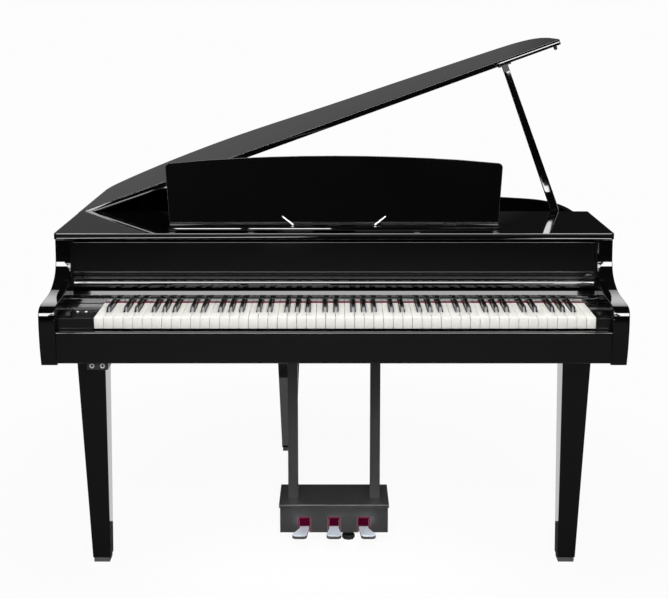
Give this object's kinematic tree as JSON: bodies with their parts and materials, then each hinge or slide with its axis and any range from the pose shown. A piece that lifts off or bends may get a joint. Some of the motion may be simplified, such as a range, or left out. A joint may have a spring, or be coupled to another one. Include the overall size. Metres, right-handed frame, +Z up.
{
  "type": "digital grand piano",
  "caption": "Black-polished digital grand piano: curved rim with propped lid, folding fallboard, weighted keyboard, music rest, three tapered legs and a pedal box on two posts.",
  "frame": {"origin": "on the floor, at the middle of the case's width and depth", "axes": "+X towards the treble side, +Y from the player towards the tail, +Z up"},
  "size_m": [1.4362, 1.237, 1.414],
  "materials": {
    "polished_ebony": "high-gloss black polyester, mirror polished",
    "satin_black": "satin black lacquer",
    "black_knob": "matt black",
    "white_keytop": "ivory white, satin gloss",
    "black_keytop": "ebony feel, fine matt",
    "crimson_felt": "dense woven felt",
    "plated_pedal": "plated, softly polished",
    "dark_steel": "blackened, satin",
    "rubber": "matt",
    "speaker_cone": "pressed paper, matt"
  },
  "bodies": {
    "case": {"bottom_board": "satin_black", "rim": "polished_ebony", "left_arm": "polished_ebony", "right_arm": "polished_ebony", "key_slip": "polished_ebony", "front_beam": "satin_black", "top_board": "polished_ebony", "left_cheek": "satin_black", "right_cheek": "satin_black", "key_frame": "satin_black", "keys_bass": "white_keytop", "keys_treble": "white_keytop", "key_felt": "crimson_felt", "fallboard_frame": "satin_black", "music_ledge": "polished_ebony", "lid_hinge": "dark_steel", "prop_bracket": "dark_steel", "leg_front_left": "polished_ebony", "leg_front_right": "polished_ebony", "leg_rear": "polished_ebony", "ferrule_front_left": "dark_steel", "ferrule_front_right": "dark_steel", "ferrule_rear": "dark_steel", "lyre_post_left": "satin_black", "lyre_post_right": "satin_black", "pedal_box": "satin_black", "pedal_box_cover": "satin_black", "pedal_felt_left": "crimson_felt", "pedal_felt_middle": "crimson_felt", "pedal_felt_right": "crimson_felt", "headphone_box": "satin_black", "woofer": "speaker_cone"},
    "lid": {"lid": "polished_ebony", "prop_socket": "dark_steel", "lid_bumper": "rubber"},
    "lid_prop": {"lid_prop": "polished_ebony"},
    "fallboard": {"fallboard": "polished_ebony"},
    "fallboard_flap": {"fallboard_flap": "polished_ebony"},
    "music_rest": {"music_rest": "polished_ebony"},
    "music_rest_stay": {"music_rest_stay": "satin_black"},
    "page_clip_left": {"page_clip_left": "dark_steel"},
    "page_clip_right": {"page_clip_right": "dark_steel"},
    "pedal_left": {"pedal_left": "plated_pedal"},
    "pedal_middle": {"pedal_middle": "plated_pedal"},
    "pedal_right": {"pedal_right": "plated_pedal"},
    "pedal_adjuster": {"pedal_adjuster": "rubber"},
    "volume_slider": {"volume_slider": "black_knob"},
    "power_button": {"power_button": "black_knob"},
    "key_c": {"key_c": "white_keytop"},
    "key_d": {"key_d": "white_keytop"},
    "key_e": {"key_e": "white_keytop"},
    "key_f": {"key_f": "white_keytop"},
    "key_g": {"key_g": "white_keytop"},
    "key_a": {"key_a": "white_keytop"},
    "key_b": {"key_b": "white_keytop"},
    "key_c_sharp": {"key_c_sharp": "black_keytop"},
    "key_d_sharp": {"key_d_sharp": "black_keytop"},
    "key_f_sharp": {"key_f_sharp": "black_keytop"},
    "key_g_sharp": {"key_g_sharp": "black_keytop"},
    "key_a_sharp": {"key_a_sharp": "black_keytop"}
  },
  "joints": [
    {"name": "lid_hinge", "type": "hinge", "parent": "case", "child": "lid", "pos_m": [-0.705, 0, 0.91], "axis": [0, 1, 0], "range_deg": [0, 19.93]},
    {"name": "lid_prop_pivot", "type": "hinge", "parent": "lid", "child": "lid_prop", "pos_m": [0.47868, -0.0685, 1.33014], "axis": [0, 1, 0], "range_deg": [0, 90.2]},
    {"name": "fallboard_hinge", "type": "hinge", "parent": "case", "child": "fallboard", "pos_m": [0, -0.4135, 0.8], "axis": [1, 0, 0], "range_deg": [0, 90]},
    {"name": "fallboard_flap_hinge", "type": "hinge", "parent": "fallboard", "child": "fallboard_flap", "pos_m": [0, -0.4137, 0.9105], "axis": [1, 0, 0], "range_deg": [0, 180]},
    {"name": "music_rest_hinge", "type": "hinge", "parent": "case", "child": "music_rest", "pos_m": [0, -0.363, 0.95], "axis": [-1, 0, 0], "range_deg": [0, 79.5]},
    {"name": "music_rest_stay_hinge", "type": "hinge", "parent": "music_rest", "child": "music_rest_stay", "pos_m": [0, -0.34862, 1.00836], "axis": [1, 0, 0], "range_deg": [0, 131.3]},
    {"name": "page_clip_left_pivot", "type": "hinge", "parent": "case", "child": "page_clip_left", "pos_m": [-0.106, -0.3825, 0.94851], "axis": [0, 1, 0], "range_deg": [-36, 140]},
    {"name": "page_clip_right_pivot", "type": "hinge", "parent": "case", "child": "page_clip_right", "pos_m": [0.106, -0.3825, 0.94851], "axis": [0, -1, 0], "range_deg": [-36, 140]},
    {"name": "key_c_balance", "type": "hinge", "parent": "case", "child": "key_c", "pos_m": [-0.03205, -0.2905, 0.7282], "axis": [1, 0, 0], "range_deg": [0, 1.9], "stiffness_Nm_per_rad": 6, "springref_deg": -5.73},
    {"name": "key_d_balance", "type": "hinge", "parent": "case", "child": "key_d", "pos_m": [-0.00855, -0.2905, 0.7282], "axis": [1, 0, 0], "range_deg": [0, 1.9], "stiffness_Nm_per_rad": 6, "springref_deg": -5.73},
    {"name": "key_e_balance", "type": "hinge", "parent": "case", "child": "key_e", "pos_m": [0.01495, -0.2905, 0.7282], "axis": [1, 0, 0], "range_deg": [0, 1.9], "stiffness_Nm_per_rad": 6, "springref_deg": -5.73},
    {"name": "key_f_balance", "type": "hinge", "parent": "case", "child": "key_f", "pos_m": [0.03845, -0.2905, 0.7282], "axis": [1, 0, 0], "range_deg": [0, 1.9], "stiffness_Nm_per_rad": 6, "springref_deg": -5.73},
    {"name": "key_g_balance", "type": "hinge", "parent": "case", "child": "key_g", "pos_m": [0.06195, -0.2905, 0.7282], "axis": [1, 0, 0], "range_deg": [0, 1.9], "stiffness_Nm_per_rad": 6, "springref_deg": -5.73},
    {"name": "key_a_balance", "type": "hinge", "parent": "case", "child": "key_a", "pos_m": [0.08545, -0.2905, 0.7282], "axis": [1, 0, 0], "range_deg": [0, 1.9], "stiffness_Nm_per_rad": 6, "springref_deg": -5.73},
    {"name": "key_b_balance", "type": "hinge", "parent": "case", "child": "key_b", "pos_m": [0.10895, -0.2905, 0.7282], "axis": [1, 0, 0], "range_deg": [0, 1.9], "stiffness_Nm_per_rad": 6, "springref_deg": -5.73},
    {"name": "key_c_sharp_balance", "type": "hinge", "parent": "case", "child": "key_c_sharp", "pos_m": [-0.0221, -0.2905, 0.7282], "axis": [1, 0, 0], "range_deg": [0, 1.9], "stiffness_Nm_per_rad": 4, "springref_deg": -4.58},
    {"name": "key_d_sharp_balance", "type": "hinge", "parent": "case", "child": "key_d_sharp", "pos_m": [0.005, -0.2905, 0.7282], "axis": [1, 0, 0], "range_deg": [0, 1.9], "stiffness_Nm_per_rad": 4, "springref_deg": -4.58},
    {"name": "key_f_sharp_balance", "type": "hinge", "parent": "case", "child": "key_f_sharp", "pos_m": [0.0476, -0.2905, 0.7282], "axis": [1, 0, 0], "range_deg": [0, 1.9], "stiffness_Nm_per_rad": 4, "springref_deg": -4.58},
    {"name": "key_g_sharp_balance", "type": "hinge", "parent": "case", "child": "key_g_sharp", "pos_m": [0.0737, -0.2905, 0.7282], "axis": [1, 0, 0], "range_deg": [0, 1.9], "stiffness_Nm_per_rad": 4, "springref_deg": -4.58},
    {"name": "key_a_sharp_balance", "type": "hinge", "parent": "case", "child": "key_a_sharp", "pos_m": [0.0996, -0.2905, 0.7282], "axis": [1, 0, 0], "range_deg": [0, 1.9], "stiffness_Nm_per_rad": 4, "springref_deg": -4.58},
    {"name": "pedal_left_axle", "type": "hinge", "parent": "case", "child": "pedal_left", "pos_m": [-0.083, -0.1165, 0.061], "axis": [1, 0, 0], "range_deg": [0, 5], "stiffness_Nm_per_rad": 30, "springref_deg": -4.58},
    {"name": "pedal_middle_axle", "type": "hinge", "parent": "case", "child": "pedal_middle", "pos_m": [0, -0.1165, 0.061], "axis": [1, 0, 0], "range_deg": [0, 5], "stiffness_Nm_per_rad": 30, "springref_deg": -4.58},
    {"name": "pedal_right_axle", "type": "hinge", "parent": "case", "child": "pedal_right", "pos_m": [0.083, -0.1165, 0.061], "axis": [1, 0, 0], "range_deg": [0, 5], "stiffness_Nm_per_rad": 30, "springref_deg": -4.58},
    {"name": "pedal_adjuster_screw", "type": "hinge", "parent": "case", "child": "pedal_adjuster", "pos_m": [0.041, -0.1665, 0], "axis": [0, 0, 1], "continuous": true},
    {"name": "volume_slide", "type": "slide", "parent": "case", "child": "volume_slider", "axis": [0, 1, 0], "range_m": [-0.015, 0.015]},
    {"name": "power_press", "type": "slide", "parent": "case", "child": "power_button", "axis": [0, 0, -1], "range_m": [0, 0.0018], "stiffness_N_per_m": 600, "springref_m": -0.001}
  ],
  "couplings": [
    {"joint": "lid_prop_pivot", "follows": "lid_hinge", "ratio": 4.52},
    {"joint": "fallboard_flap_hinge", "follows": "fallboard_hinge", "ratio": 2},
    {"joint": "music_rest_stay_hinge", "follows": "music_rest_hinge", "ratio": 1.65}
  ]
}
